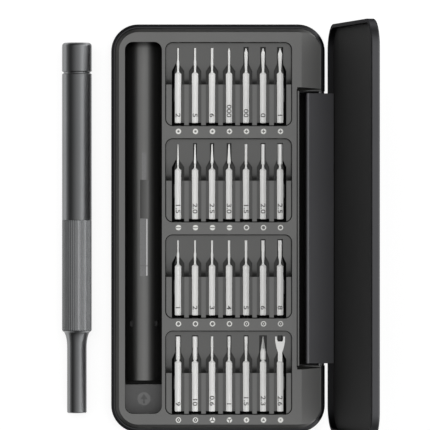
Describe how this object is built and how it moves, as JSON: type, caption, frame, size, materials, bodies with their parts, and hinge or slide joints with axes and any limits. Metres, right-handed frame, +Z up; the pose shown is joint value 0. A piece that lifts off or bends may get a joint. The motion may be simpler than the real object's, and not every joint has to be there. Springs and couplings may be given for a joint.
{
  "type": "precision screwdriver set",
  "caption": "Flat hinged metal box with a moulded tray of long thin driver bits, and a slim fluted handle with a spinning end cap that stores in the tray's trough.",
  "frame": {"origin": "on the table under the middle of the whole set as it lies open, which is also the middle of the box's base", "axes": "+X from the box towards the lid's hinge, +Y along the bits towards their tips, +Z up"},
  "size_m": [0.1874, 0.2446, 0.1332],
  "materials": {
    "shell": "dark anodised, bead blasted",
    "tray": "fine-grained moulding",
    "pad": "smooth soft-touch insert",
    "liner": "dark satin sheet",
    "driver": "grey anodised, satin",
    "grip": "grey anodised, straight fluted",
    "bit_steel": "satin nickel plated",
    "steel": "ground steel",
    "magnet": "nickel plated magnet",
    "rubber": "matt"
  },
  "bodies": {
    "case": {"base_shell": "shell", "bit_tray": "tray", "press_pad": "pad", "handle_rests": "rubber", "trough_magnets": "magnet", "bit_magnets": "magnet", "catch_magnets": "magnet", "hinge_blocks": "shell", "hinge_pins": "steel"},
    "lid": {"lid_shell": "shell", "lid_liner": "liner", "hinge_spine": "shell", "lid_magnets": "magnet"},
    "driver": {"driver_tube": "driver", "grip_sleeve": "grip", "nose_barrel": "driver", "bit_socket": "steel", "socket_magnet": "magnet", "end_plug": "driver", "steel_core": "steel", "bearing_inner_ring": "steel", "bearing_balls": "steel", "cap_screw": "steel"},
    "cap": {"swivel_cap": "driver", "bearing_outer_ring": "steel"},
    "pentalobe_2_body": {"bit_pentalobe_2": "bit_steel"},
    "pentalobe_5_body": {"bit_pentalobe_5": "bit_steel"},
    "pentalobe_6_body": {"bit_pentalobe_6": "bit_steel"},
    "cross_000_body": {"bit_cross_000": "bit_steel"},
    "cross_00_body": {"bit_cross_00": "bit_steel"},
    "cross_0_body": {"bit_cross_0": "bit_steel"},
    "cross_1_body": {"bit_cross_1": "bit_steel"},
    "slot_15_body": {"bit_slot_15": "bit_steel"},
    "slot_20_body": {"bit_slot_20": "bit_steel"},
    "slot_25_body": {"bit_slot_25": "bit_steel"},
    "slot_30_body": {"bit_slot_30": "bit_steel"},
    "hex_15_body": {"bit_hex_15": "bit_steel"},
    "hex_20_body": {"bit_hex_20": "bit_steel"},
    "hex_25_body": {"bit_hex_25": "bit_steel"},
    "star_1_body": {"bit_star_1": "bit_steel"},
    "star_2_body": {"bit_star_2": "bit_steel"},
    "star_3_body": {"bit_star_3": "bit_steel"},
    "star_4_body": {"bit_star_4": "bit_steel"},
    "pinned_star_5_body": {"bit_pinned_star_5": "bit_steel"},
    "pinned_star_6_body": {"bit_pinned_star_6": "bit_steel"},
    "pinned_star_8_body": {"bit_pinned_star_8": "bit_steel"},
    "pinned_star_9_body": {"bit_pinned_star_9": "bit_steel"},
    "pinned_star_10_body": {"bit_pinned_star_10": "bit_steel"},
    "three_wing_06_body": {"bit_three_wing_06": "bit_steel"},
    "three_point_1_body": {"bit_three_point_1": "bit_steel"},
    "square_cross_15_body": {"bit_square_cross_15": "bit_steel"},
    "triangle_23_body": {"bit_triangle_23": "bit_steel"},
    "fork_26_body": {"bit_fork_26": "bit_steel"}
  },
  "joints": [
    {"name": "lid_hinge", "type": "hinge", "parent": "case", "child": "lid", "pos_m": [0.0612, 0, 0.011], "axis": [0, 1, 0], "range_deg": [-100.5, 0]},
    {"name": "driver_stow", "type": "hinge", "parent": "case", "child": "driver", "pos_m": [-0.06492, 0, 0.0146], "axis": [0, 1, 0], "range_deg": [0, 207.99]},
    {"name": "cap_spin", "type": "hinge", "parent": "driver", "child": "cap", "pos_m": [-0.08479, 0.1, 0.0089], "axis": [0, 1, 0], "continuous": true},
    {"name": "lift_pentalobe_2", "type": "slide", "parent": "case", "child": "pentalobe_2_body", "axis": [0, 0, 1], "range_m": [0, 0.03]},
    {"name": "lift_pentalobe_5", "type": "slide", "parent": "case", "child": "pentalobe_5_body", "axis": [0, 0, 1], "range_m": [0, 0.03]},
    {"name": "lift_pentalobe_6", "type": "slide", "parent": "case", "child": "pentalobe_6_body", "axis": [0, 0, 1], "range_m": [0, 0.03]},
    {"name": "lift_cross_000", "type": "slide", "parent": "case", "child": "cross_000_body", "axis": [0, 0, 1], "range_m": [0, 0.03]},
    {"name": "lift_cross_00", "type": "slide", "parent": "case", "child": "cross_00_body", "axis": [0, 0, 1], "range_m": [0, 0.03]},
    {"name": "lift_cross_0", "type": "slide", "parent": "case", "child": "cross_0_body", "axis": [0, 0, 1], "range_m": [0, 0.03]},
    {"name": "lift_cross_1", "type": "slide", "parent": "case", "child": "cross_1_body", "axis": [0, 0, 1], "range_m": [0, 0.03]},
    {"name": "lift_slot_15", "type": "slide", "parent": "case", "child": "slot_15_body", "axis": [0, 0, 1], "range_m": [0, 0.03]},
    {"name": "lift_slot_20", "type": "slide", "parent": "case", "child": "slot_20_body", "axis": [0, 0, 1], "range_m": [0, 0.03]},
    {"name": "lift_slot_25", "type": "slide", "parent": "case", "child": "slot_25_body", "axis": [0, 0, 1], "range_m": [0, 0.03]},
    {"name": "lift_slot_30", "type": "slide", "parent": "case", "child": "slot_30_body", "axis": [0, 0, 1], "range_m": [0, 0.03]},
    {"name": "lift_hex_15", "type": "slide", "parent": "case", "child": "hex_15_body", "axis": [0, 0, 1], "range_m": [0, 0.03]},
    {"name": "lift_hex_20", "type": "slide", "parent": "case", "child": "hex_20_body", "axis": [0, 0, 1], "range_m": [0, 0.03]},
    {"name": "lift_hex_25", "type": "slide", "parent": "case", "child": "hex_25_body", "axis": [0, 0, 1], "range_m": [0, 0.03]},
    {"name": "lift_star_1", "type": "slide", "parent": "case", "child": "star_1_body", "axis": [0, 0, 1], "range_m": [0, 0.03]},
    {"name": "lift_star_2", "type": "slide", "parent": "case", "child": "star_2_body", "axis": [0, 0, 1], "range_m": [0, 0.03]},
    {"name": "lift_star_3", "type": "slide", "parent": "case", "child": "star_3_body", "axis": [0, 0, 1], "range_m": [0, 0.03]},
    {"name": "lift_star_4", "type": "slide", "parent": "case", "child": "star_4_body", "axis": [0, 0, 1], "range_m": [0, 0.03]},
    {"name": "lift_pinned_star_5", "type": "slide", "parent": "case", "child": "pinned_star_5_body", "axis": [0, 0, 1], "range_m": [0, 0.03]},
    {"name": "lift_pinned_star_6", "type": "slide", "parent": "case", "child": "pinned_star_6_body", "axis": [0, 0, 1], "range_m": [0, 0.03]},
    {"name": "lift_pinned_star_8", "type": "slide", "parent": "case", "child": "pinned_star_8_body", "axis": [0, 0, 1], "range_m": [0, 0.03]},
    {"name": "lift_pinned_star_9", "type": "slide", "parent": "case", "child": "pinned_star_9_body", "axis": [0, 0, 1], "range_m": [0, 0.03]},
    {"name": "lift_pinned_star_10", "type": "slide", "parent": "case", "child": "pinned_star_10_body", "axis": [0, 0, 1], "range_m": [0, 0.03]},
    {"name": "lift_three_wing_06", "type": "slide", "parent": "case", "child": "three_wing_06_body", "axis": [0, 0, 1], "range_m": [0, 0.03]},
    {"name": "lift_three_point_1", "type": "slide", "parent": "case", "child": "three_point_1_body", "axis": [0, 0, 1], "range_m": [0, 0.03]},
    {"name": "lift_square_cross_15", "type": "slide", "parent": "case", "child": "square_cross_15_body", "axis": [0, 0, 1], "range_m": [0, 0.03]},
    {"name": "lift_triangle_23", "type": "slide", "parent": "case", "child": "triangle_23_body", "axis": [0, 0, 1], "range_m": [0, 0.03]},
    {"name": "lift_fork_26", "type": "slide", "parent": "case", "child": "fork_26_body", "axis": [0, 0, 1], "range_m": [0, 0.03]}
  ]
}
